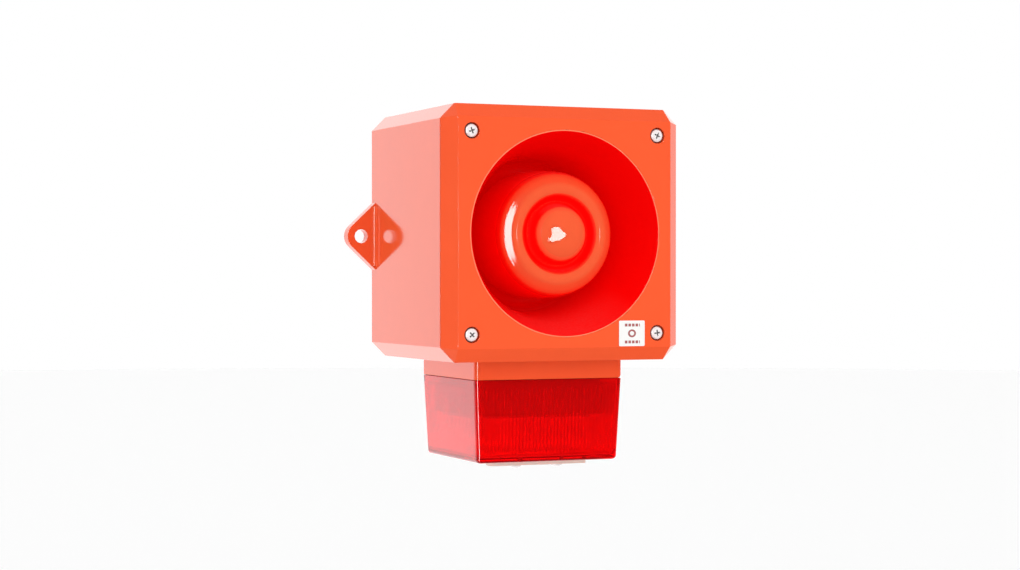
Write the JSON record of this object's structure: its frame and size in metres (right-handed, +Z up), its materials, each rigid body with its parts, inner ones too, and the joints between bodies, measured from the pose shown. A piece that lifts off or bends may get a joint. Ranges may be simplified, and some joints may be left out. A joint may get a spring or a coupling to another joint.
{
  "type": "horn strobe",
  "caption": "Red wall-mounted fire alarm sounder: square case with a round re-entrant horn and side fixing lugs, and a clear red flashing beacon below.",
  "frame": {"origin": "centre of the housing's flat back face, where it meets the wall", "axes": "+Y into the wall, so the horn faces -Y; +Z up; +X to the right as someone facing the horn sees it"},
  "size_m": [0.2101, 0.1417, 0.2358],
  "materials": {
    "case_red": "gloss",
    "horn_red": "gloss",
    "lens_red": "clear gloss",
    "steel": "satin",
    "brass": "satin",
    "rubber": "matt",
    "black_plastic": "satin",
    "grey_film": "satin",
    "pale_plastic": "satin",
    "board_green": "satin",
    "terminal_green": "satin",
    "copper": "enamelled",
    "ferrite": "matt",
    "tube_glass": "clear",
    "label_white": "satin",
    "switch_blue": "satin"
  },
  "bodies": {
    "housing": {"rear_housing": "case_red", "board_screw_1": "steel", "board_screw_2": "steel", "board_screw_3": "steel", "board_screw_4": "steel", "base_screw_1": "steel", "base_screw_2": "steel", "main_board": "board_green", "driver_socket": "pale_plastic", "terminal_block": "terminal_green", "terminal_screw_1": "steel", "terminal_screw_2": "steel", "terminal_screw_3": "steel", "terminal_screw_4": "steel", "tone_switch_body": "switch_blue", "volume_control": "switch_blue", "output_transformer": "ferrite", "board_capacitor_1": "black_plastic", "board_capacitor_2": "black_plastic", "gland_body": "black_plastic", "gland_nut": "black_plastic", "gland_seal": "rubber", "gland_locknut": "black_plastic", "stopping_plug": "black_plastic", "strobe_base": "case_red", "base_gasket": "rubber", "lens_gasket": "rubber", "strobe_tray": "pale_plastic", "strobe_board": "board_green", "strobe_capacitor": "black_plastic", "trigger_coil": "copper", "reflector": "label_white", "flash_tube": "tube_glass", "strobe_lead": "black_plastic"},
    "cover": {"front_cover": "case_red", "cover_gasket": "rubber", "cover_screw_1": "steel", "cover_screw_2": "steel", "cover_screw_3": "steel", "cover_screw_4": "steel", "label": "label_white", "horn_flare": "horn_red", "horn_plug": "horn_red", "driver_case": "black_plastic", "driver_top_plate": "steel", "driver_magnet": "ferrite", "driver_yoke": "steel", "driver_plug": "pale_plastic"},
    "diaphragm_set": {"diaphragm": "grey_film", "voice_coil": "copper"},
    "lens_set": {"lens": "lens_red", "lens_foot_strip": "pale_plastic", "lens_screw_1": "steel", "lens_screw_2": "steel"},
    "tone_slider_1": {"tone_slider_1": "label_white"},
    "tone_slider_2": {"tone_slider_2": "label_white"},
    "tone_slider_3": {"tone_slider_3": "label_white"},
    "tone_slider_4": {"tone_slider_4": "label_white"},
    "volume_rotor": {"volume_rotor": "brass"}
  },
  "joints": [
    {"name": "cover_off", "type": "slide", "parent": "housing", "child": "cover", "axis": [0, -1, 0], "range_m": [0, 0.13]},
    {"name": "lens_off", "type": "slide", "parent": "housing", "child": "lens_set", "axis": [0, 0, -1], "range_m": [0, 0.06]},
    {"name": "diaphragm_throw", "type": "slide", "parent": "cover", "child": "diaphragm_set", "axis": [0, -1, 0], "range_m": [-0.0005, 0.0005], "stiffness_N_per_m": 500},
    {"name": "tone_slide_1", "type": "slide", "parent": "housing", "child": "tone_slider_1", "axis": [0, 0, 1], "range_m": [0, 0.0017]},
    {"name": "tone_slide_2", "type": "slide", "parent": "housing", "child": "tone_slider_2", "axis": [0, 0, 1], "range_m": [0, 0.0017]},
    {"name": "tone_slide_3", "type": "slide", "parent": "housing", "child": "tone_slider_3", "axis": [0, 0, 1], "range_m": [0, 0.0017]},
    {"name": "tone_slide_4", "type": "slide", "parent": "housing", "child": "tone_slider_4", "axis": [0, 0, 1], "range_m": [0, 0.0017]},
    {"name": "volume_turn", "type": "hinge", "parent": "housing", "child": "volume_rotor", "pos_m": [0.044, -0.022, -0.057], "axis": [0, -1, 0], "range_deg": [-135, 135]}
  ]
}
